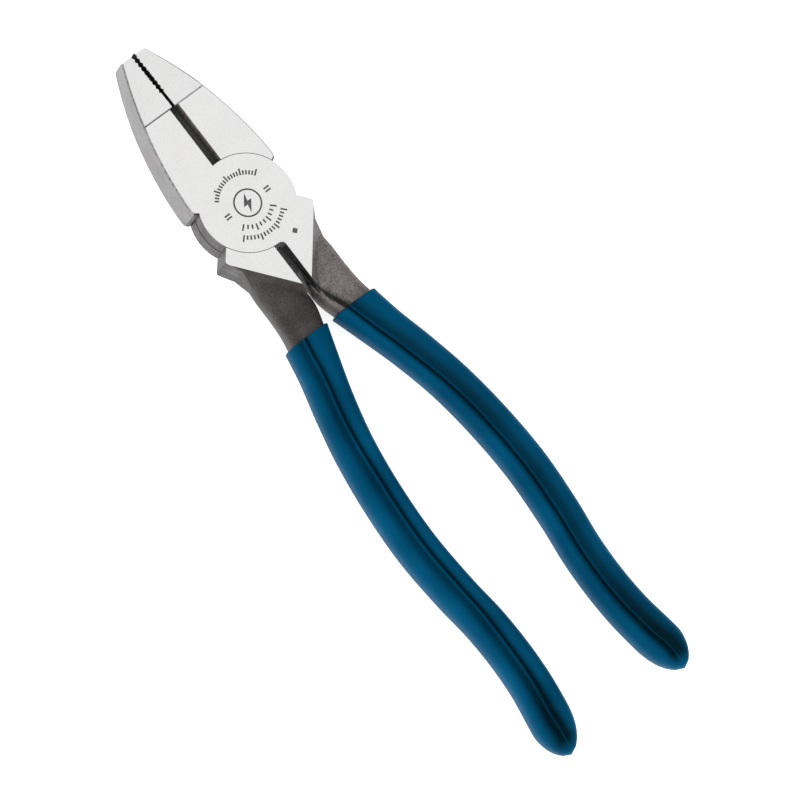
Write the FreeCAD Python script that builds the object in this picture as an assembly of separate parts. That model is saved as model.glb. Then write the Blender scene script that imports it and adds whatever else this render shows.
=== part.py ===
"""Nine-inch lineman pliers: two forged halves in a lap joint, a flush rivet and two dipped grips.

Frame, in millimetres: the origin is on the pivot's axis in the plane of the head's rear face,
+Y points to the nose, +X to the right and +Z out of the front face.
The front half holds the left jaw, the front lap disc and the right handle.
The rear half is the same forging turned half a turn about the tool's long axis.
"""
import FreeCAD, Part
import math
import os

from FreeCAD import Vector

# Head
HEAD_T = 16.0          # thickness over both faces
MID = HEAD_T / 2       # plane where the two laps meet
LAY_GAP = 0.03         # from that plane to each lap
LAP_R = 14.7           # radius of the lap discs
LAP_GAP = 0.18         # running gap round each lap disc
LAP_CHAMFER = 0.45     # chamfer where the two discs face each other

# Jaws
TIP_Y = 54.8           # end of the nose
TIP_HALF = 4.0         # half width of the nose's flat end
CHEEK = (11.2, 35.0)   # a point half-way along the jaw's outer arc
SHOULDER_X = 15.3      # half width over the jaws' shoulders
SHOULDER_Y = 10.0      # where the outer arc ends
JAW_STOP = 22.0        # degrees from the X axis up to the jaw's shoulder
NOSE_Y = 35.3          # ground crease where the nose starts to taper
NOSE_T = 13.0          # thickness at the nose's end
JAW_HALF_GAP = 0.48    # half of the gap between the closed gripping faces
EDGE_CHAMFER = 0.5     # on the outer rims of the ground faces
TIP_RADIUS = 1.1
SHOULDER_RADIUS = 2.2

# Cutting knives
RECESS = 1.6           # half width of the recess that the knives stand in
KNIFE_HALF_GAP = 0.06  # half of the gap between the closed cutting edges
KNIFE_HALF_BASE = 1.9  # half thickness of a knife at its root

# Knurled gripping faces
KNURL_PITCH = 1.5      # from groove to groove along the jaw
KNURL_DEPTH = 0.24
KNURL_HALF = 0.4       # half width of a groove at the face
PLAIN_RUN = 5.5        # plain length of the gripping face next to the knives

# Shoulders and ramps of the handles
SLOT = 1.7             # half width of the slot between the handles
SHOULDER_IN = (11.0, -4.2)  # the shoulder's line runs from here, inside the lap disc,
WING = (16.3, -10.3)        # to the handle's outer corner
WING_FOOT = (13.5, -15.2)
RAMP_TIP = (2.3, -27.6)    # the ground face ends along the line through these two points
RAMP_SIDE = (12.75, -15.0)
RAMP_RUN = 6.4         # plan length over which the ramp falls from the face to the mid plane
WING_RADIUS = 0.8
SLOT_RADIUS = 1.5

# Handle stations: y, centre x, half width, half thickness
NECK_HALF_T = 5.8
HANDLE = [
    (-9.0, 7.55, 5.65, NECK_HALF_T),
    (-13.0, 7.55, 5.65, NECK_HALF_T),
    (-17.0, 7.55, 5.65, NECK_HALF_T),
    (-21.0, 7.7, 5.85, NECK_HALF_T),
    (-25.0, 7.7, 6.1, NECK_HALF_T),
    (-28.0, 7.45, 6.35, NECK_HALF_T),
    (-31.0, 7.25, 6.6, NECK_HALF_T),
    (-34.5, 7.35, 6.65, NECK_HALF_T),
    (-38.0, 7.9, 6.45, NECK_HALF_T),
    (-42.0, 8.95, 6.2, NECK_HALF_T),
    (-51.0, 11.3, 5.55, NECK_HALF_T),
    (-62.0, 14.45, 5.25, NECK_HALF_T),
    (-76.0, 17.65, 5.05, NECK_HALF_T),
    (-92.0, 19.75, 5.0, NECK_HALF_T),
    (-109.0, 20.6, 5.0, NECK_HALF_T),
    (-126.0, 19.65, 4.95, NECK_HALF_T),
    (-138.0, 18.3, 4.9, NECK_HALF_T),
    (-149.0, 17.9, 4.9, NECK_HALF_T),
    (-160.0, 18.4, 5.0, NECK_HALF_T),
    (-170.0, 19.75, 5.1, 5.6),
    (-174.0, 20.35, 4.7, 5.1),
    (-177.0, 20.7, 3.4, 3.9),
    (-178.6, 20.8, 1.8, 2.2),
]
HANDLE_SQUARE = 3.2    # exponent of the handle's rounded section

# Grooves down the handle's front and rear face: y, then for the front and the rear groove its
# place across the width from the inner edge, its depth and its width. The width runs from the
# groove's middle to where it has lost two thirds of its depth.
GROOVES = [
    (-21.0, (0.09, 0.0, 0.9), (0.82, 0.0, 2.2)),
    (-31.0, (0.11, 1.7, 0.9), (0.80, 0.8, 2.2)),
    (-36.0, (0.25, 2.2, 0.9), (0.75, 1.2, 2.2)),
    (-42.0, (0.31, 2.2, 1.2), (0.68, 1.7, 2.2)),
    (-60.0, (0.34, 2.5, 2.1), (0.56, 2.3, 2.3)),
    (-90.0, (0.40, 2.7, 2.3), (0.43, 2.6, 2.4)),
    (-125.0, (0.42, 2.7, 2.3), (0.44, 2.6, 2.4)),
    (-150.0, (0.43, 2.7, 2.3), (0.54, 2.6, 2.4)),
    (-169.0, (0.45, 2.5, 2.2), (0.54, 2.5, 2.3)),
    (-175.5, (0.50, 0.8, 1.8), (0.50, 0.8, 1.8)),
    (-178.5, (0.50, 0.0, 1.8), (0.50, 0.0, 1.8)),
]

# Dipped grips
COLLAR_Y = -41.2       # the dip line
COAT = 1.2             # thickness of the dipped coat
COAT_SQUARE = 2.8
COAT_SLACK = 0.03      # gap that keeps the coat's inner face clear of the steel
GRIP_END = [
    (-170.0, 19.8, 6.4, 6.85),
    (-174.0, 20.45, 6.25, 6.5),
    (-177.5, 20.8, 5.4, 5.7),
    (-180.2, 21.05, 4.1, 4.5),
    (-182.1, 21.2, 2.6, 3.0),
    (-183.3, 21.3, 1.2, 1.5),
]

# Rivet
RIVET_R = 4.8
RIVET_HEAD_R = 6.2
RIVET_HEAD_H = 2.0
RIVET_FIT = 0.01       # gap in the half that holds the rivet
RIVET_RUN = 0.04       # running gap in the half that turns on it

# Stamped marks on the front face: plain graduations and a bolt of lightning
STAMP_DEPTH = 0.2
STAMP_LINE = 0.5       # width of a stamped line
SCORE_DEPTH = 0.18     # scored line at the start of the nose
SCORE_HALF = 0.32      # half width of that line

SECTION_POINTS = 48


def polygon_prism(points, z0, z1):
    """A prism on a closed outline of (x, y) points."""
    wire = Part.makePolygon([Vector(x, y, z0) for x, y in points + points[:1]])
    return Part.Face(wire).extrude(Vector(0, 0, z1 - z0))


def cylinder(radius, z0, z1):
    return Part.makeCylinder(radius, z1 - z0, Vector(0, 0, z0))


def polar(radius, degrees):
    angle = math.radians(degrees)
    return (radius * math.cos(angle), radius * math.sin(angle))


def upright_edges(solid, x, y, reach=0.4):
    """Edges of the solid that run along Z through (x, y)."""
    found = []
    for edge in solid.Edges:
        box = edge.BoundBox
        here = abs(box.XMin - x) < reach and abs(box.YMin - y) < reach
        if box.ZLength > 1.0 and box.XLength < 0.01 and box.YLength < 0.01 and here:
            found.append(edge)
    return found


def turned_over(shape):
    """The shape turned half a turn about the tool's long axis."""
    copy = shape.copy()
    copy.rotate(Vector(0, 0, MID), Vector(0, 1, 0), 180)
    return copy


def groove_at(y, face):
    """Place, depth and width at y of the groove in one face (1 is front, 2 is rear)."""
    if y >= GROOVES[0][0]:
        return GROOVES[0][face]
    for upper, lower in zip(GROOVES, GROOVES[1:]):
        if y >= lower[0]:
            t = (y - upper[0]) / (lower[0] - upper[0])
            ease = t * t * (3 - 2 * t)
            return [a + (b - a) * ease for a, b in zip(upper[face], lower[face])]
    return GROOVES[-1][face]


def handle_section(y, centre, half_w, half_t, square, offset=0.0):
    """A closed curve across the handle at y: a rounded bar with a groove in each face."""
    grooves = groove_at(y, 1), groove_at(y, 2)
    a = half_w + offset
    b = half_t + offset
    points = []
    for i in range(SECTION_POINTS):
        turn = 2 * math.pi * i / SECTION_POINTS
        x = a * math.cos(turn)
        z = b * max(0.0, 1 - abs(math.cos(turn)) ** square) ** (1 / square)
        front = math.sin(turn) >= 0
        place, depth, width = grooves[0 if front else 1]
        from_groove = (x + half_w - place * 2 * half_w) / width
        z -= depth * math.exp(-from_groove ** 2) * min(1.0, z / b)
        points.append(Vector(centre + x, y, MID + (z if front else -z)))
    steps = [i / SECTION_POINTS for i in range(SECTION_POINTS + 1)]
    curve = Part.BSplineCurve()
    curve.interpolate(Points=points, Parameters=steps, PeriodicFlag=True)
    return Part.Wire(curve.toShape())


def handle_loft(stations, square, offset=0.0):
    sections = [handle_section(*row, square, offset) for row in stations]
    return Part.makeLoft(sections, True, False)


def jaw():
    """The left jaw: outer arc, shoulder, knife recess and tapered nose, with its back scooped
    out for the other half's lap disc."""
    stop_in = polar(LAP_R - 3, 180 - JAW_STOP)
    stop_out = (-SHOULDER_X, SHOULDER_X * math.tan(math.radians(JAW_STOP)))
    tip = Vector(-TIP_HALF, TIP_Y, 0)
    shoulder = Vector(-SHOULDER_X, SHOULDER_Y, 0)
    arc = Part.Arc(tip, Vector(-CHEEK[0], CHEEK[1], 0), shoulder).toShape()
    rest = Part.makePolygon([
        shoulder,
        Vector(*stop_out, 0),
        Vector(*stop_in, 0),
        Vector(-RECESS, stop_in[1], 0),
        Vector(-RECESS, NOSE_Y, 0),
        Vector(-JAW_HALF_GAP, NOSE_Y, 0),
        Vector(-JAW_HALF_GAP, TIP_Y, 0),
        tip,
    ])
    outline = Part.Wire([arc] + rest.Edges)
    solid = Part.Face(outline).extrude(Vector(0, 0, HEAD_T))
    solid = solid.makeFillet(TIP_RADIUS, upright_edges(solid, -TIP_HALF, TIP_Y))
    solid = solid.makeFillet(SHOULDER_RADIUS, upright_edges(solid, *stop_out))
    solid = solid.cut(nose_taper())
    return chamfer_outer_rim(solid)


def nose_taper():
    """What is ground off both faces of the nose."""
    drop = (HEAD_T - NOSE_T) / 2
    far = TIP_Y + 5
    drop_far = drop * (far - NOSE_Y) / (TIP_Y - NOSE_Y)
    profile = [(NOSE_Y, 0), (far, 0), (far, -drop_far)]
    wire = Part.makePolygon([Vector(-20, y, HEAD_T + z) for y, z in profile + profile[:1]])
    front = Part.Face(wire).extrude(Vector(19.9, 0, 0))
    rear = front.copy().mirror(Vector(0, 0, MID), Vector(0, 0, 1))
    return Part.makeCompound([front, rear])


def chamfer_outer_rim(solid):
    """Breaks the outer edges of the jaw's two faces, not those along its inner side."""
    rims = []
    for edge in solid.Edges:
        box = edge.BoundBox
        outer = box.XMax < -RECESS - 0.1 and box.YMin > 5.0
        on_face = box.ZMin > MID + 5 or box.ZMax < MID - 5
        crease = abs(box.YMin - NOSE_Y) < 0.01 and box.YLength < 0.01
        upright = box.ZLength > 5
        if outer and on_face and not crease and not upright:
            rims.append(edge)
    return solid.makeChamfer(EDGE_CHAMFER, rims)


def knife():
    """The cutting ridge in the left jaw's recess."""
    root = -RECESS - 0.2
    half = KNIFE_HALF_BASE
    profile = [(root, MID - half), (-RECESS, MID - half), (-KNIFE_HALF_GAP, MID),
               (-RECESS, MID + half), (root, MID + half)]
    start = LAP_R + LAP_GAP
    wire = Part.makePolygon([Vector(x, start, z) for x, z in profile + profile[:1]])
    return Part.Face(wire).extrude(Vector(0, NOSE_Y + 0.01 - start, 0))


def knurl_grooves():
    """Two crossing sets of V grooves over the left jaw's gripping face."""
    face_x = -JAW_HALF_GAP
    reach = HEAD_T
    tools = []
    first = NOSE_Y - reach
    count = int((TIP_Y + reach - first) / KNURL_PITCH)
    half = KNURL_HALF * math.sqrt(2) * (KNURL_DEPTH + 0.1) / KNURL_DEPTH
    for i in range(count):
        y = first + (i + 0.5) * KNURL_PITCH
        for lean in (-1, 1):
            profile = [(face_x + 0.1, -half), (face_x + 0.1, half), (face_x - KNURL_DEPTH, 0)]
            wire = Part.makePolygon([Vector(x, y + dy, MID - lean * reach) + Vector(0, -reach, 0)
                                     for x, dy in profile + profile[:1]])
            tools.append(Part.Face(wire).extrude(Vector(0, 2 * reach, 2 * lean * reach)))
    start = NOSE_Y + PLAIN_RUN
    keep = Part.makeBox(2, TIP_Y + 1 - start, HEAD_T + 2, Vector(face_x - 1.5, start, -1))
    return [tool.common(keep) for tool in tools]


def shoulder_slab():
    """The full-thickness end of the right handle, with its wing and its ramps."""
    plan = [(SLOT, -9.0), (SHOULDER_IN[0], -9.0), SHOULDER_IN, WING, WING_FOOT,
            (13.3, -20.0), (13.2, -33.0), (SLOT, -36.0)]
    slab = polygon_prism(plan, 0, HEAD_T)
    slab = slab.makeFillet(WING_RADIUS, upright_edges(slab, *WING))
    along = Vector(RAMP_SIDE[0] - RAMP_TIP[0], RAMP_SIDE[1] - RAMP_TIP[1], 0).normalize()
    across = Vector(along.y, -along.x, 0)
    base = Vector(RAMP_TIP[0], RAMP_TIP[1], 0) - along * 40
    profile = [(-60, 0), (0, 0), (RAMP_RUN, MID), (0, HEAD_T), (-60, HEAD_T)]
    corners = [base + across * q + Vector(0, 0, z) for q, z in profile + profile[:1]]
    ramps = Part.Face(Part.makePolygon(corners)).extrude(along * 90)
    return slab.common(ramps)


def right_handle():
    """The right handle: shoulder, neck and the tang inside the grip."""
    return handle_loft(HANDLE, HANDLE_SQUARE).fuse(shoulder_slab())


def lap_disc():
    """The front lap disc, chamfered where it faces the other half's disc."""
    disc = cylinder(LAP_R, MID + LAY_GAP, HEAD_T)
    lower = [e for e in disc.Edges if e.BoundBox.ZMax < MID + 1 and e.BoundBox.XLength > 1]
    return disc.makeChamfer(LAP_CHAMFER, lower)


def forged_half():
    """The half with the left jaw, the front lap disc and the right handle, with no rivet hole."""
    scoop = cylinder(LAP_R + LAP_GAP, -1, MID + LAY_GAP)
    steel = jaw().fuse(knife()).fuse(right_handle()).cut(scoop)
    steel = steel.fuse(lap_disc()).removeSplitter()
    rim = -math.sqrt(LAP_R ** 2 - SLOT ** 2)
    steel = steel.makeFillet(SLOT_RADIUS, upright_edges(steel, SLOT, rim, 0.05))
    return steel.cut(knurl_grooves())


def rivet(gap=0.0):
    """A flush rivet, countersunk into both faces, larger all round by gap."""
    shank = cylinder(RIVET_R + gap, 0, HEAD_T)
    head = Part.makeCone(RIVET_R + gap, RIVET_HEAD_R + gap, RIVET_HEAD_H,
                         Vector(0, 0, HEAD_T - RIVET_HEAD_H))
    other = turned_over(head)
    return shank.fuse([head, other]).removeSplitter()


def tick(radius, degrees, length):
    """A short radial line of the stamped graduations."""
    bar = Part.makeBox(length, STAMP_LINE, STAMP_DEPTH * 2,
                       Vector(radius, -STAMP_LINE / 2, HEAD_T - STAMP_DEPTH))
    bar.rotate(Vector(0, 0, 0), Vector(0, 0, 1), degrees)
    return bar


def graduations(radius, first, last, count, long_every=5):
    """An arc of ticks, the longer ones at regular places."""
    ticks = []
    for i in range(count):
        angle = first + (last - first) * i / (count - 1)
        length = 2.0 if i % long_every == 0 else 1.3
        ticks.append(tick(radius, angle, length))
    return ticks


def stamped_marks():
    """Graduated arcs, a bolt of lightning in a ring and a punched square: no lettering."""
    ring = cylinder(4.3, HEAD_T - STAMP_DEPTH, HEAD_T + 1)
    ring = ring.cut(cylinder(4.3 - STAMP_LINE, HEAD_T - 1, HEAD_T + 2))
    bolt = [(0.9, 3.0), (-1.7, -0.4), (-0.3, -0.4), (-0.9, -3.0), (1.7, 0.5), (0.3, 0.5)]
    marks = [ring, polygon_prism(bolt, HEAD_T - STAMP_DEPTH, HEAD_T + 1)]
    marks += graduations(8.4, 38, 142, 19)
    marks += graduations(6.5, 222, 318, 10, 3)
    marks += graduations(9.7, 226, 314, 16)
    for side in (-1, 1):
        for row in (-0.5, 0.5):
            marks.append(Part.makeBox(1.9, STAMP_LINE, STAMP_DEPTH * 2,
                                      Vector(side * 7.2 - 0.95, row - STAMP_LINE / 2,
                                             HEAD_T - STAMP_DEPTH)))
    square = [(6.2, -15.6), (7.2, -14.6), (6.2, -13.6), (5.2, -14.6)]
    marks.append(polygon_prism(square, HEAD_T - STAMP_DEPTH, HEAD_T + 1))
    return marks


def nose_scores():
    """V lines scored across the left jaw's faces where the nose begins."""
    tools = []
    for face, into in ((HEAD_T, -1), (0.0, 1)):
        profile = [(-SCORE_HALF, -0.06), (SCORE_HALF, -0.06), (0, SCORE_DEPTH)]
        wire = Part.makePolygon([Vector(-20, NOSE_Y + dy, face + into * dz)
                                 for dy, dz in profile + profile[:1]])
        tools.append(Part.Face(wire).extrude(Vector(20, 0, 0)))
    return tools


def station_at(y):
    """Centre, half width and half thickness of the handle at y, straight between stations."""
    upper = [row for row in HANDLE if row[0] >= y][-1]
    lower = [row for row in HANDLE if row[0] < y][0]
    t = (y - upper[0]) / (lower[0] - upper[0])
    return [a + (b - a) * t for a, b in zip(upper[1:], lower[1:])]


def grip():
    """The dipped coat of the right handle, hollow for the steel and open at the collar."""
    rows = [row for row in HANDLE if COLLAR_Y > row[0] > GRIP_END[0][0]]
    collar = station_at(COLLAR_Y)
    outer = [(COLLAR_Y, *collar)] + rows
    sections = [handle_section(*row, COAT_SQUARE, COAT) for row in outer]
    sections += [handle_section(*row, COAT_SQUARE) for row in GRIP_END]
    coat = Part.makeLoft(sections, True, False)
    return coat.cut(handle_loft(HANDLE, HANDLE_SQUARE, COAT_SLACK))


def report(name, shape):
    solids = len(shape.Solids)
    print(f"{name}: solids {solids}, valid {shape.isValid()}, volume {shape.Volume:.0f} mm3")


def main():
    os.makedirs("parts", exist_ok=True)
    half = forged_half().cut(nose_scores())
    front_half = half.cut([rivet(RIVET_FIT)] + stamped_marks())
    rear_half = turned_over(half).cut(rivet(RIVET_RUN))
    stamped_rivet = rivet().cut(stamped_marks())
    right_grip = grip()
    nodes = {
        "front_plier_half": front_half,
        "rear_plier_half": rear_half,
        "pivot_rivet": stamped_rivet,
        "right_grip": right_grip,
        "left_grip": turned_over(right_grip),
    }
    for name, shape in nodes.items():
        report(name, shape)
        shape.exportStep(f"parts/{name}.step")


main()
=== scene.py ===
"""Looks of the lineman pliers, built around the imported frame.

Lengths in the tables are in millimetres in the frame's axes: +Y to the nose, +Z out of the front
face, and the rear face at Z = 0. The rear half is the front half turned over about the Y axis.
"""

import math

import bmesh
import bpy
from mathutils import Matrix, Vector


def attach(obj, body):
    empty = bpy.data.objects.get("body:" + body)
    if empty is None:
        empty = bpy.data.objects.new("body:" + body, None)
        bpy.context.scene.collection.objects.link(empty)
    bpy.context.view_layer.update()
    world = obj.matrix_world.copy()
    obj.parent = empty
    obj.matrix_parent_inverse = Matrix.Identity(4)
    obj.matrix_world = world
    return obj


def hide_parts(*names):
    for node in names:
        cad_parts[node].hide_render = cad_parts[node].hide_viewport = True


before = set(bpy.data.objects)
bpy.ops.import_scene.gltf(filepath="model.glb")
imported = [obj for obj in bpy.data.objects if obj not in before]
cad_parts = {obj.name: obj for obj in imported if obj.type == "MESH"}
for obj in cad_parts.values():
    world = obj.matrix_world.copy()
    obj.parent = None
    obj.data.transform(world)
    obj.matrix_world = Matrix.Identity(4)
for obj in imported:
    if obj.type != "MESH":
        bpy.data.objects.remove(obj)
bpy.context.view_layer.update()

MM = 0.001

# Head
HEAD_T = 16.0        # thickness over both faces
MID = HEAD_T / 2     # plane where the two laps meet
LAP_R = 14.7         # radius of the lap discs
NOSE_Y = 35.3        # crease where the nose starts to taper
TIP_END = 54.8       # end of the nose
RECESS = 1.6         # half width of the knives' recess
STAMP_DEPTH = 0.2
JAW_HALF_GAP = 0.48  # half of the gap between the gripping faces
KNURL_SKIN = 0.01    # a point this far behind a gripping face is in a groove
KNURL_REACH = 0.3    # and no groove is deeper than this
KNURL_GAIN = 0.5     # how much deeper the grooves are cut, as a part of their depth

# Crease down the neck's inner side, where x = CREASE_X + CREASE_SLOPE * y on the front half, and
# how far the painted shade along it reaches to each side
CREASE_X = -10.45
CREASE_SLOPE = -0.405
CREASE_HALF = 0.8

# Finishes of the front half. First, how far a face may lie from what it is taken to belong to.
FACE_SKIN = 0.05
RIVET_SKIN = 0.01
END_SKIN = 0.1
BAY_SKIN = 0.1
BAY_REACH = 0.3
BAY_OVERLAP = 1.0
LAP_SKIN = 0.6
LAP_REACH = 0.3
NOSE_DROP = 2.0
STAMP_MARGIN = 0.6
END_RIM = 0.8
# Where the zones start or end
STAMP_R = 17.5
JAW_X = -2.0
JAW_Y = 6.5
KNURL_X = -1.3
HEAD_END_Y = -29.0
SHOULDER_Y = -9.0
WING_X = 13.0
WING_Y = -15.0
SLOT_X = 1.75
SLOT_Y = -34.0
# How much of a face's unit normal lies along the axis in question
FLAT = 0.97
SLOPED = 0.3
LEANING = 0.2
FACING_IN = 0.1
UPRIGHT = 0.05
SQUARE_ON = 0.999
OUTWARD = 0.75

# Clean-up of the CAD meshes: points this near are one, faces within the first angle are one, and
# edges past the second are sharp
MERGE = 0.002
FLAT_ANGLE = math.radians(0.6)
SHARP_ANGLE = math.radians(32)

FLOOR_Z = -0.3
FLOOR_HALF = 1.6

# Camera: where it looks from, the picture's right and up directions, and its aim
VIEW_FROM = Vector((-0.2653, -0.0483, 0.9630))
VIEW_RIGHT = Vector((0.7729, -0.6078, 0.1825))
VIEW_AIM = Vector((0.44, -73.6, 16.0)) * MM
VIEW_WIDTH = 233.2 * MM
SENSOR = 36.0
LENS = 400.0

# Dipped grip: y, centre x, half width, half thickness of the coat's outside
COLLAR_Y = -41.2
COAT = 1.2           # thickness of the coat
GRIP = [
    (-41.2, 8.74, 7.42, 7.0),
    (-51.0, 11.3, 6.75, 7.0),
    (-62.0, 14.45, 6.45, 7.0),
    (-76.0, 17.65, 6.25, 7.0),
    (-92.0, 19.75, 6.2, 7.0),
    (-109.0, 20.6, 6.2, 7.0),
    (-126.0, 19.65, 6.15, 7.0),
    (-138.0, 18.3, 6.1, 7.0),
    (-149.0, 17.9, 6.1, 7.0),
    (-160.0, 18.4, 6.2, 7.0),
    (-170.0, 19.8, 6.4, 6.85),
    (-174.0, 20.45, 6.25, 6.5),
    (-177.5, 20.8, 5.4, 5.7),
    (-180.2, 21.05, 4.1, 4.5),
    (-182.1, 21.2, 2.6, 3.0),
    (-183.3, 21.3, 1.2, 1.5),
]
GRIP_SQUARE = 2.8    # exponent of the grip's rounded section
# Grooves down the grip: y, then place across the width, depth and width of the front and the
# rear groove
GROOVES = [
    (-36.0, (0.25, 2.2, 0.9), (0.75, 1.2, 2.2)),
    (-42.0, (0.31, 2.2, 1.2), (0.68, 1.7, 2.2)),
    (-60.0, (0.34, 2.5, 2.1), (0.56, 2.3, 2.3)),
    (-90.0, (0.40, 2.7, 2.3), (0.43, 2.6, 2.4)),
    (-125.0, (0.42, 2.7, 2.3), (0.44, 2.6, 2.4)),
    (-150.0, (0.43, 2.7, 2.3), (0.54, 2.6, 2.4)),
    (-169.0, (0.45, 2.5, 2.2), (0.54, 2.5, 2.3)),
    (-177.0, (0.50, 1.6, 1.8), (0.50, 1.6, 1.8)),
    (-183.0, (0.50, 0.0, 1.8), (0.50, 0.0, 1.8)),
]
# In each groove: a fine ridge, a fold on its inner side, how far the painted shade reaches and how
# dark it is in the front and in the rear groove. A groove shallower than FULL_DEPTH fades. The
# painted shade deepens and spreads from DARK_TIP_Y on, over DARK_TIP_RUN, darkens at the fold and
# gives way to a painted highlight on the ridge. SMALLEST is the least half width and half thickness
# of a ring.
RIDGE_HEIGHT = 0.4
RIDGE_WIDTH = 0.32
FOLD_BACK = 0.85
FOLD_WIDTH = 0.4
FOLD_DEPTH = 0.35
SHADE_IN = 1.9
SHADE_OUT = 3.2
SHADE_TONES = (0.72, 0.52)
FULL_DEPTH = 1.2
DARK_TIP_Y = -148.0
DARK_TIP_RUN = 25.0
TIP_TONE = 1.1
TIP_SPREAD = 0.8
FOLD_SHADE = 0.6
RIDGE_HIGHLIGHT = 0.5
SMALLEST = 0.3

# Mesh of the coat: its rings, the inner skin's step, gap and end, where both skins close (x, y),
# and the collar's rolled lip with the turn between its rings in degrees
RING_POINTS = 192
RING_STEP = 1.0
INNER_STEP = 2.0
INNER_GAP = 0.05
SHELL_END = -177.0
INNER_POLE = (20.75, -177.8)
OUTER_POLE = (21.35, -183.6)
LIP_R = 0.55
LIP_RISE = 0.6
LIP_TURN = 30

# A noise's values mostly lie from NOISE_LOW to NOISE_HIGH
NOISE_LOW = 0.3
NOISE_MID = 0.6
NOISE_HIGH = 0.7
PATCH_SCALE = 160.0

# Dipped plastic: noise scales of its clouds, orange peel and pits, and its own colours and its
# colours under the painted shade of the grooves, each at both ends of the clouds
CLOUD_SCALE = 55.0
PEEL_SCALE = 900.0
PIT_SCALE = 3500.0
PLAIN_COAT = ((0.0, 0.055, 0.122), (0.0, 0.082, 0.178))
PAINTED_SHADE_COAT = ((0.0, 0.009, 0.015), (0.0, 0.015, 0.025))

# Studio: name, place in metres, size and power of each soft light, and where they aim
LIGHTS = [
    ("overhead", (0.45, 0.05, 1.5), 1.0, 0.5),
    ("left_key", (-1.1, -0.5, 0.7), 0.8, 3.2),
]
LIGHTS_AIM = (0, -0.06, 0)
# Backdrop's brightness from the left (0) to the right (1)
BACKDROP = [(0.0, (1.0, 1.0, 1.0)), (0.62, (0.92, 0.92, 0.92)), (1.0, (0.45, 0.45, 0.45))]
BACKDROP_STRENGTH = 0.95


def new_material(name):
    material = bpy.data.materials.new(name)
    material.use_nodes = True
    tree = material.node_tree
    tree.nodes.clear()
    return material, tree


def add(tree, kind, links=(), **values):
    """A shader node with its sockets set by name; links are (socket, output) pairs."""
    node = tree.nodes.new(kind)
    for key, value in values.items():
        if hasattr(node, key):
            setattr(node, key, value)
        else:
            node.inputs[key.replace("_", " ")].default_value = value
    for socket, output in links:
        tree.links.new(output, node.inputs[socket])
    return node


def object_point(tree, scale=(1, 1, 1)):
    coords = add(tree, "ShaderNodeTexCoord")
    mapping = add(tree, "ShaderNodeMapping", [("Vector", coords.outputs["Object"])])
    mapping.inputs["Scale"].default_value = scale
    return mapping.outputs["Vector"]


def ramp(tree, factor, stops):
    node = add(tree, "ShaderNodeValToRGB", [("Fac", factor)])
    stops = list(stops)
    elements = node.color_ramp.elements
    while len(elements) < len(stops):
        elements.new(0.5)
    for element, (place, colour) in zip(elements, stops):
        element.position = place
        element.color = (*colour, 1)
    return node.outputs["Color"]


def noise_at(tree, vector, scale, detail=3.0, rough=0.55):
    node = add(tree, "ShaderNodeTexNoise", [("Vector", vector)], Scale=scale, Detail=detail,
               Roughness=rough)
    return node.outputs["Fac"]


def spread(tree, noise, low, high):
    """A noise with its usual range stretched to run from low to high."""
    node = add(tree, "ShaderNodeMapRange", [("Value", noise)], From_Min=NOISE_LOW,
               From_Max=NOISE_HIGH, To_Min=low, To_Max=high)
    return node.outputs["Result"]


def surface(tree, colour, roughness, height=None, bump=0.1, distance=0.0001, **values):
    shader = add(tree, "ShaderNodeBsdfPrincipled", [("Base Color", colour),
                                                    ("Roughness", roughness)])
    for key, value in values.items():
        shader.inputs[key.replace("_", " ")].default_value = value
    if height is not None:
        bumped = add(tree, "ShaderNodeBump", [("Height", height)], Strength=bump, Distance=distance)
        tree.links.new(bumped.outputs["Normal"], shader.inputs["Normal"])
    add(tree, "ShaderNodeOutputMaterial", [("Surface", shader.outputs["BSDF"])])


def speckle(tree, stretch, scale, cloud):
    """A fine grain, and the same grain dimmed by soft patches of the given strength."""
    grain = noise_at(tree, object_point(tree, stretch), scale, 3.0, 0.6)
    patches = noise_at(tree, object_point(tree), PATCH_SCALE, 3.0)
    soft = spread(tree, patches, 1.0 - cloud, 1.0)
    mixed = add(tree, "ShaderNodeMath", [(0, grain), (1, soft)], operation="MULTIPLY")
    return grain, mixed.outputs[0]


def metal(name, dark, light, rough_low, rough_high, stretch, scale, bump, metallic=1.0, cloud=0.2):
    """Steel whose colour, roughness and relief follow a stretched grain and soft patches."""
    material, tree = new_material(name)
    grain, mixed = speckle(tree, stretch, scale, cloud)
    colour = ramp(tree, mixed, [(NOISE_LOW, dark), (NOISE_MID, light)])
    rough = spread(tree, grain, rough_low, rough_high)
    surface(tree, colour, rough, grain, bump, Metallic=metallic)
    return material


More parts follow.
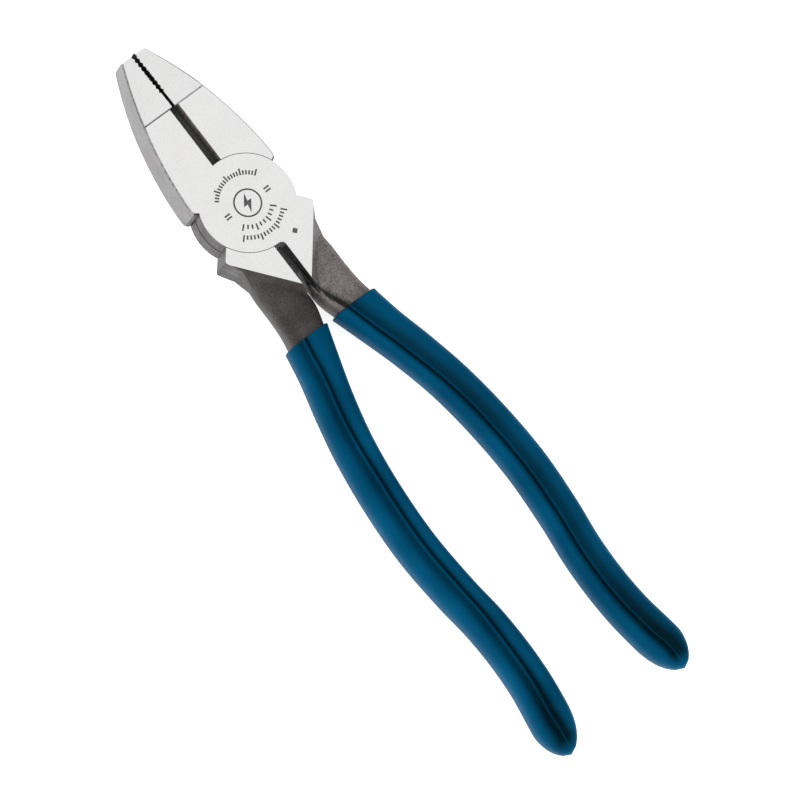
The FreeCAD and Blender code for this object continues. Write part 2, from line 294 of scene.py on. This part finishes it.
def crease_weight(tree):
    """How near a point is to the crease down the neck's inner side, from 0 to 1."""
    coords = add(tree, "ShaderNodeTexCoord")
    place = add(tree, "ShaderNodeSeparateXYZ", [("Vector", coords.outputs["Object"])])
    side = add(tree, "ShaderNodeMath", [(0, place.outputs["X"])], operation="ABSOLUTE")
    line = add(tree, "ShaderNodeMath", [(0, place.outputs["Y"])], operation="MULTIPLY_ADD")
    line.inputs[1].default_value = CREASE_SLOPE
    line.inputs[2].default_value = CREASE_X * MM
    off = add(tree, "ShaderNodeMath", [(0, side.outputs[0]), (1, line.outputs[0])],
              operation="SUBTRACT")
    near = add(tree, "ShaderNodeMath", [(0, off.outputs[0])], operation="ABSOLUTE")
    weight = add(tree, "ShaderNodeMapRange", [("Value", near.outputs[0])], To_Min=1.0, To_Max=0.0,
                 interpolation_type="SMOOTHSTEP")
    weight.inputs["From Max"].default_value = CREASE_HALF * MM
    above = add(tree, "ShaderNodeMath", [(0, place.outputs["Z"])], operation="SUBTRACT")
    above.inputs[1].default_value = MID * MM
    same = add(tree, "ShaderNodeMath", [(0, above.outputs[0]), (1, place.outputs["X"])],
               operation="MULTIPLY")
    fronted = add(tree, "ShaderNodeMath", [(0, same.outputs[0])], operation="GREATER_THAN")
    fronted.inputs[1].default_value = 0.0
    return add(tree, "ShaderNodeMath", [(0, weight.outputs["Result"]), (1, fronted.outputs[0])],
               operation="MULTIPLY").outputs[0]


def forged_scale():
    """Speckled brown-grey forging scale, with painted shade along the neck's crease."""
    material, tree = new_material("forged_scale")
    grain, mixed = speckle(tree, (1, 1, 1), 2200.0, 0.3)
    scale = ramp(tree, mixed, [(NOISE_LOW, (0.09, 0.079, 0.075)),
                               (NOISE_MID, (0.28, 0.248, 0.236))])
    # Painted shade: a near-black colour along the neck's crease
    crease_shade = ramp(tree, grain, [(NOISE_LOW, (0.006, 0.005, 0.005)),
                              (NOISE_HIGH, (0.022, 0.02, 0.019))])
    colour = add(tree, "ShaderNodeMixRGB", [("Fac", crease_weight(tree)), ("Color1", scale),
                                            ("Color2", crease_shade)])
    rough = spread(tree, grain, 0.42, 0.62)
    surface(tree, colour.outputs["Color"], rough, grain, 0.6, Metallic=0.35)
    return material


def make_materials():
    """The finishes by name. A metal's row gives its dark and light colour, its lowest and highest
    roughness, its grain's stretch and scale, and its relief."""
    return {
        "ground": metal("ground_steel", (0.74, 0.735, 0.73), (0.93, 0.925, 0.92), 0.26, 0.42,
                        (6, 1, 1), 2200.0, 0.12, cloud=0.08),
        "satin": metal("satin_side", (0.150, 0.142, 0.142), (0.31, 0.298, 0.298), 0.36, 0.52,
                       (1, 1, 1), 2200.0, 0.4),
        # The jaw's chamfer in a painted-shade copy (toward each half's front face) and a
        # painted-light copy (toward its rear face)
        "rim": metal("ground_rim_painted_shade", (0.15, 0.145, 0.145), (0.42, 0.41, 0.41), 0.4, 0.6,
                     (1, 1, 1), 1500.0, 0.3),
        "pale_rim": metal("ground_rim_painted_light", (0.36, 0.355, 0.35), (0.62, 0.615, 0.61), 0.4, 0.6,
                          (1, 1, 1), 1500.0, 0.3),
        "edge": metal("machined_edge", (0.015, 0.014, 0.014), (0.19, 0.18, 0.176), 0.38, 0.58,
                      (1, 1, 1), 1700.0, 0.8, cloud=0.35),
        "forged": forged_scale(),
        # Painted shade: a darker copy of the forging scale, put on faces that turn down or outward
        "shaded_scale": metal("forged_scale_painted_shade", (0.024, 0.021, 0.019), (0.080, 0.070, 0.066), 0.42,
                        0.62, (1, 1, 1), 2200.0, 0.6, metallic=0.35, cloud=0.3),
        # Painted shade: near-black steel for the recesses, gap walls, slot walls and the seam
        # between the laps
        "recess": metal("recess_painted_shade", (0.005, 0.0048, 0.0045), (0.024, 0.0225, 0.0215), 0.5, 0.75,
                        (1, 1, 1), 1500.0, 0.4, metallic=0.2),
        "bay": metal("knife_bay", (0.13, 0.117, 0.115), (0.40, 0.365, 0.36), 0.45, 0.7,
                     (1, 1, 1), 1500.0, 0.4, metallic=0.2),
        "stamp": metal("stamped_line", (0.07, 0.07, 0.069), (0.19, 0.19, 0.185), 0.5, 0.7,
                       (1, 1, 1), 3000.0, 0.3, metallic=0.6),
        "blade": metal("knife_bevel", (0.20, 0.19, 0.188), (0.42, 0.40, 0.395), 0.3, 0.5,
                       (1, 3, 1), 1500.0, 0.2, metallic=0.6),
        "plastic": plastic(),
        "floor": floor_material(),
    }


def plastic():
    """Dipped plastic darkened by painted shade in the grooves, with a fine orange peel."""
    material, tree = new_material("dipped_plastic")
    point = object_point(tree)
    clouds = noise_at(tree, point, CLOUD_SCALE, 2.0)
    painted_groove_shade = add(tree, "ShaderNodeAttribute", attribute_name="painted_groove_shade")
    peel = noise_at(tree, point, PEEL_SCALE, 2.0, 0.4)
    pits = noise_at(tree, point, PIT_SCALE, 2.0, 0.6)
    plain_coat = ramp(tree, clouds, zip((NOISE_LOW, NOISE_HIGH), PLAIN_COAT))
    shaded_coat = ramp(tree, clouds, zip((NOISE_LOW, NOISE_HIGH), PAINTED_SHADE_COAT))
    # Painted shade in the grooves: the mesh's attribute mixes in the shaded colour
    colour = add(tree, "ShaderNodeMixRGB", [("Fac", painted_groove_shade.outputs["Fac"]), ("Color1", plain_coat),
                                            ("Color2", shaded_coat)]).outputs["Color"]
    rough = spread(tree, peel, 0.3, 0.42)
    height = add(tree, "ShaderNodeMath", [(0, peel), (1, pits)], operation="ADD")
    surface(tree, colour, rough, height.outputs[0], 0.06, 0.0002, Specular_IOR_Level=0.015,
            Sheen_Weight=0.12, Sheen_Roughness=0.4, Sheen_Tint=(0.0, 0.6, 1.0, 1.0))
    return material


def floor_material():
    material, tree = new_material("pale_floor")
    tone = noise_at(tree, object_point(tree), 14.0, 2.0)
    colour = ramp(tree, tone, [(NOISE_LOW, (0.90, 0.90, 0.90)), (NOISE_HIGH, (0.92, 0.92, 0.92))])
    rough = add(tree, "ShaderNodeMapRange", [("Value", tone)], To_Min=0.8, To_Max=0.9)
    surface(tree, colour, rough.outputs["Result"], Emission_Color=(1, 1, 1, 1),
            Emission_Strength=0.75)
    return material


def link(obj):
    """Puts an object in the scene."""
    bpy.context.scene.collection.objects.link(obj)
    return obj


def mesh_object(name, mesh, materials):
    for material in materials:
        mesh.materials.append(material)
    return link(bpy.data.objects.new(name, mesh))


def turned_over(point):
    """The point of the front half that a point of the rear half matches, in millimetres."""
    return Vector((-point.x, point.y, HEAD_T - point.z))


def finish_of(centre, normal):
    """The finish of a face of the front half, from where the face is and the way it faces."""
    x, y, z = centre
    radius = math.hypot(x, y)
    from_face = min(z, HEAD_T - z)
    flat = abs(normal.z) > FLAT
    sloped = abs(normal.z) > SLOPED
    on_jaw = x < JAW_X and y > JAW_Y
    if y > NOSE_Y and flat and from_face < NOSE_DROP:
        return "ground"
    if y > TIP_END - END_SKIN:
        return "satin"
    if flat and from_face < FACE_SKIN and y > HEAD_END_Y:
        return "ground"
    in_disc = radius < LAP_R - STAMP_MARGIN or (x > JAW_X and radius < STAMP_R)
    if z > HEAD_T - STAMP_DEPTH - FACE_SKIN and in_disc:
        return "stamp"
    across_bay = -RECESS - BAY_SKIN < x < BAY_REACH
    if across_bay and LAP_R - BAY_OVERLAP < y < NOSE_Y + BAY_REACH:
        bevel = abs(normal.z) > LEANING and abs(normal.x) > LEANING
        return "blade" if bevel else "bay"
    # Painted shade on the faces that face across the gap at the nose
    if x > KNURL_X and y > NOSE_Y and normal.x > FACING_IN:
        return "recess"
    # Painted shade in the seam where the laps meet
    if abs(z - MID) < LAP_SKIN and radius < LAP_R + LAP_REACH:
        return "recess"
    if y > TIP_END - END_RIM and sloped:
        return "ground"
    if on_jaw and sloped:
        # The chamfer is darker toward the front face and lighter toward the rear face: painted
        # shade and painted light
        return "rim" if z > MID else "pale_rim"
    if on_jaw:
        return "satin"
    if y > SHOULDER_Y:
        return "edge"
    if x > WING_X and y > WING_Y and abs(normal.z) < UPRIGHT:
        return "edge"
    # Painted shade on the slot walls
    if x < SLOT_X and y > SLOT_Y and abs(normal.x) > SQUARE_ON:
        return "recess"
    # Faces turned down or outward get the darker copy of the scale as painted shade
    return "shaded_scale" if normal.z < -LEANING or normal.x > OUTWARD else "forged"


def whole_faces(node):
    """The CAD node's mesh as a bmesh, with each flat face in one piece."""
    bm = bmesh.new()
    bm.from_mesh(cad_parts[node].data)
    bmesh.ops.remove_doubles(bm, verts=bm.verts, dist=MERGE * MM)
    bmesh.ops.dissolve_limit(bm, angle_limit=FLAT_ANGLE, verts=bm.verts, edges=bm.edges)
    bm.normal_update()
    return bm


def deepen_knurls(bm):
    """Cuts the grooves of the gripping face deeper, so that its teeth stand out."""
    for vert in bm.verts:
        depth = abs(vert.co.x) / MM - JAW_HALF_GAP
        if vert.co.y > NOSE_Y * MM and KNURL_SKIN < depth < KNURL_REACH:
            vert.co.x *= 1 + KNURL_GAIN * depth / (JAW_HALF_GAP + depth)


def finished_mesh(bm, name, materials):
    """The bmesh as an object whose edges are sharp where its faces turn sharply."""
    mesh = bpy.data.meshes.new(name)
    bm.to_mesh(mesh)
    bm.free()
    imported = mesh.attributes.get("custom_normal")
    if imported:
        mesh.attributes.remove(imported)
    smooth = [face.use_smooth for face in mesh.polygons]
    mesh.set_sharp_from_angle(angle=SHARP_ANGLE)
    mesh.polygons.foreach_set("use_smooth", smooth)
    return mesh_object(name, mesh, materials)


def forged_half(node, name, flipped, finishes):
    """A half's mesh from its CAD node, with a finish for each face."""
    order = ["ground", "satin", "rim", "pale_rim", "edge", "forged", "shaded_scale", "recess", "bay",
             "stamp", "blade"]
    bm = whole_faces(node)
    for face in bm.faces:
        centre = face.calc_center_median() / MM
        normal = face.normal.copy()
        if flipped:
            centre = turned_over(centre)
            normal = Vector((-normal.x, normal.y, -normal.z))
        finish = finish_of(centre, normal)
        face.material_index = order.index(finish)
        face.smooth = finish != "ground"
    deepen_knurls(bm)
    return finished_mesh(bm, name, [finishes[key] for key in order])


def ground_rivet(finishes):
    """The rivet from its CAD node, with its stamped lines dark."""
    bm = whole_faces("pivot_rivet")
    for face in bm.faces:
        z = face.calc_center_median().z / MM
        on_face = min(z, HEAD_T - z) < RIVET_SKIN
        stamped = HEAD_T - STAMP_DEPTH - RIVET_SKIN < z < HEAD_T - RIVET_SKIN
        # The rivet's sides take the recess's painted shade
        face.material_index = 1 if stamped else (0 if on_face else 2)
        face.smooth = not on_face
    return finished_mesh(bm, "ground_rivet",
                         [finishes[key] for key in ("ground", "stamp", "recess")])


def groove_at(y, face):
    """Place, depth and width at y of the groove in one face (1 is front, 2 is rear)."""
    for upper, lower in zip(GROOVES, GROOVES[1:]):
        if y >= lower[0]:
            t = (y - upper[0]) / (lower[0] - upper[0])
            ease = t * t * (3 - 2 * t)
            return [a + (b - a) * ease for a, b in zip(upper[face], lower[face])]
    return GROOVES[-1][face]


def splined(rows, y):
    """The rows' values at y on a smooth curve through them."""
    y = min(rows[0][0], max(rows[-1][0], y))
    last = len(rows) - 1
    i = next(k for k in range(last) if y >= rows[k + 1][0])
    y0, y1 = rows[i][0], rows[i + 1][0]
    t = (y - y0) / (y1 - y0)

    def slope(k, j):
        a, b = rows[max(0, k - 1)], rows[min(last, k + 1)]
        return (b[j] - a[j]) / (b[0] - a[0])

    values = []
    for j in range(1, len(rows[0])):
        p0, p1 = rows[i][j], rows[i + 1][j]
        m0, m1 = slope(i, j) * (y1 - y0), slope(i + 1, j) * (y1 - y0)
        values.append((2 * t**3 - 3 * t**2 + 1) * p0 + (t**3 - 2 * t**2 + t) * m0
                      + (3 * t**2 - 2 * t**3) * p1 + (t**3 - t**2) * m1)
    return values


def grip_ring(y, offset):
    """Points round the grip at y, offset outward from the coat's outside by offset, each with
    the strength of the painted shade on it, from 0 to 1."""
    centre, half_w, half_t = splined(GRIP, y)
    grooves = groove_at(y, 1), groove_at(y, 2)
    a = max(SMALLEST, half_w + offset)
    b = max(SMALLEST, half_t + offset)
    points = []
    for i in range(RING_POINTS):
        turn = 2 * math.pi * i / RING_POINTS
        x = a * math.cos(turn)
        z = b * max(0.0, 1 - abs(math.cos(turn)) ** GRIP_SQUARE) ** (1 / GRIP_SQUARE)
        front = math.sin(turn) >= 0
        place, depth, width = grooves[0 if front else 1]
        bare = half_w - COAT
        from_groove = x + bare - place * 2 * bare
        ridge = math.exp(-(from_groove / RIDGE_WIDTH) ** 2)
        fold = math.exp(-((from_groove + FOLD_BACK) / FOLD_WIDTH) ** 2)
        strength = min(1.0, depth / FULL_DEPTH)
        dip = depth * math.exp(-(from_groove / width) ** 2)
        dip += strength * (FOLD_DEPTH * fold - RIDGE_HEIGHT * ridge)
        z -= dip * min(1.0, z / b)
        # Painted shade in the groove, darker and wider towards the tip and at the fold, lifted by a
        # painted highlight on the ridge
        near_tip = max(0.0, min(1.0, (DARK_TIP_Y - y) / DARK_TIP_RUN))
        reach = (SHADE_OUT if from_groove > 0 else SHADE_IN) + TIP_SPREAD * near_tip
        base_tone = SHADE_TONES[0 if front else 1]
        full_tone = base_tone + (TIP_TONE - base_tone) * near_tip
        tone = full_tone * math.exp(-abs(from_groove / reach) ** 3)
        tone += FOLD_SHADE * fold - RIDGE_HIGHLIGHT * ridge
        painted_groove_shade = strength * max(0.0, min(1.0, tone))
        points.append((Vector((centre + x, y, MID + (z if front else -z))) * MM, painted_groove_shade))
    return points


def grip_mesh(name):
    """The dipped coat as a closed shell: outer skin, rolled collar lip and inner skin."""
    rings = []
    y = SHELL_END
    while y < COLLAR_Y - LIP_RISE:
        rings.append(grip_ring(y, -COAT + INNER_GAP))
        y += INNER_STEP
    for angle in range(-90, 91, LIP_TURN):
        turn = math.radians(angle)
        rings.append(grip_ring(COLLAR_Y - LIP_R + LIP_R * math.cos(turn),
                               -LIP_R + LIP_RISE * math.sin(turn)))
    y = COLLAR_Y - COAT
    while y > GRIP[-1][0]:
        rings.append(grip_ring(y, 0.0))
        y -= RING_STEP
    bm = bmesh.new()
    painted_groove_shade = bm.verts.layers.float.new("painted_groove_shade")
    loops = []
    for ring in rings:
        loops.append([bm.verts.new(point) for point, _ in ring])
        # The second value of each point is its painted groove shade
        for vert, (_, depth) in zip(loops[-1], ring):
            vert[painted_groove_shade] = depth
    for low, high in zip(loops, loops[1:]):
        for i in range(RING_POINTS):
            j = (i + 1) % RING_POINTS
            bm.faces.new((low[i], high[i], high[j], low[j]))
    for loop, tip in ((loops[0], INNER_POLE), (loops[-1], OUTER_POLE)):
        pole = bm.verts.new(Vector((tip[0], tip[1], MID)) * MM)
        for i in range(RING_POINTS):
            bm.faces.new((loop[i], loop[(i + 1) % RING_POINTS], pole))
    bmesh.ops.recalc_face_normals(bm, faces=bm.faces)
    for face in bm.faces:
        face.smooth = True
    mesh = bpy.data.meshes.new(name)
    bm.to_mesh(mesh)
    bm.free()
    return mesh


def make_floor(material):
    """The pale floor."""
    bm = bmesh.new()
    corners = [(-1, -1), (1, -1), (1, 1), (-1, 1)]
    bm.faces.new([bm.verts.new((x * FLOOR_HALF, y * FLOOR_HALF, FLOOR_Z * MM))
                  for x, y in corners])
    mesh = bpy.data.meshes.new("floor")
    bm.to_mesh(mesh)
    bm.free()
    floor = mesh_object("floor", mesh, [material])


def area_light(name, place, aim, size, power):
    """A soft square light that faces its aim."""
    data = bpy.data.lights.new(name, "AREA")
    data.shape = "SQUARE"
    data.size = size
    data.energy = power
    light = link(bpy.data.objects.new(name, data))
    light.location = place
    light.rotation_euler = (Vector(aim) - Vector(place)).to_track_quat("-Z", "Y").to_euler()


def make_studio():
    """The backdrop, brightest at the left, and the lights."""
    world = bpy.data.worlds.new("studio")
    bpy.context.scene.world = world
    world.use_nodes = True
    tree = world.node_tree
    backdrop = tree.nodes["Background"]
    coords = add(tree, "ShaderNodeTexCoord")
    side = add(tree, "ShaderNodeSeparateXYZ", [("Vector", coords.outputs["Generated"])])
    across = add(tree, "ShaderNodeMapRange", [("Value", side.outputs["X"])], From_Min=-1.0,
                 From_Max=1.0, To_Min=0.0, To_Max=1.0)
    tree.links.new(ramp(tree, across.outputs["Result"], BACKDROP), backdrop.inputs["Color"])
    backdrop.inputs["Strength"].default_value = BACKDROP_STRENGTH
    for name, place, size, power in LIGHTS:
        area_light(name, place, LIGHTS_AIM, size, power)
    bpy.context.scene.view_settings.view_transform = "Standard"


def make_camera():
    """The camera, far off with a long lens."""
    data = bpy.data.cameras.new("camera")
    data.lens = LENS
    data.sensor_width = SENSOR
    data.clip_start = 0.01
    camera = link(bpy.data.objects.new("camera", data))
    back = VIEW_FROM.normalized()
    right = (VIEW_RIGHT - back * VIEW_RIGHT.dot(back)).normalized()
    up = back.cross(right)
    axes = Matrix((right, up, back)).transposed().to_4x4()
    distance = VIEW_WIDTH * LENS / SENSOR
    camera.matrix_world = Matrix.Translation(VIEW_AIM + back * distance) @ axes
    bpy.context.scene.camera = camera


def main():
    make_camera()
    make_studio()
    finishes = make_materials()
    make_floor(finishes["floor"])
    front = forged_half("front_plier_half", "front_forging", False, finishes)
    rear = forged_half("rear_plier_half", "rear_forging", True, finishes)
    for piece, node, body in ((front, "front_plier_half", "front_body"),
                              (rear, "rear_plier_half", "rear_body")):
        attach(piece, body)
        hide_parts(node)
    right_grip = mesh_object("right_dipped_grip", grip_mesh("right_dipped_grip"),
                             [finishes["plastic"]])
    left_mesh = grip_mesh("left_dipped_grip")
    over = Matrix.Translation((0, 0, MID * MM)) @ Matrix.Rotation(math.pi, 4, "Y")
    left_mesh.transform(over @ Matrix.Translation((0, 0, -MID * MM)))
    left_grip = mesh_object("left_dipped_grip", left_mesh, [finishes["plastic"]])
    for piece, node, body in ((right_grip, "right_grip", "front_body"),
                              (left_grip, "left_grip", "rear_body")):
        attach(piece, body)
        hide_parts(node)
    rivet = ground_rivet(finishes)
    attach(rivet, "front_body")
    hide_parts("pivot_rivet")


main()
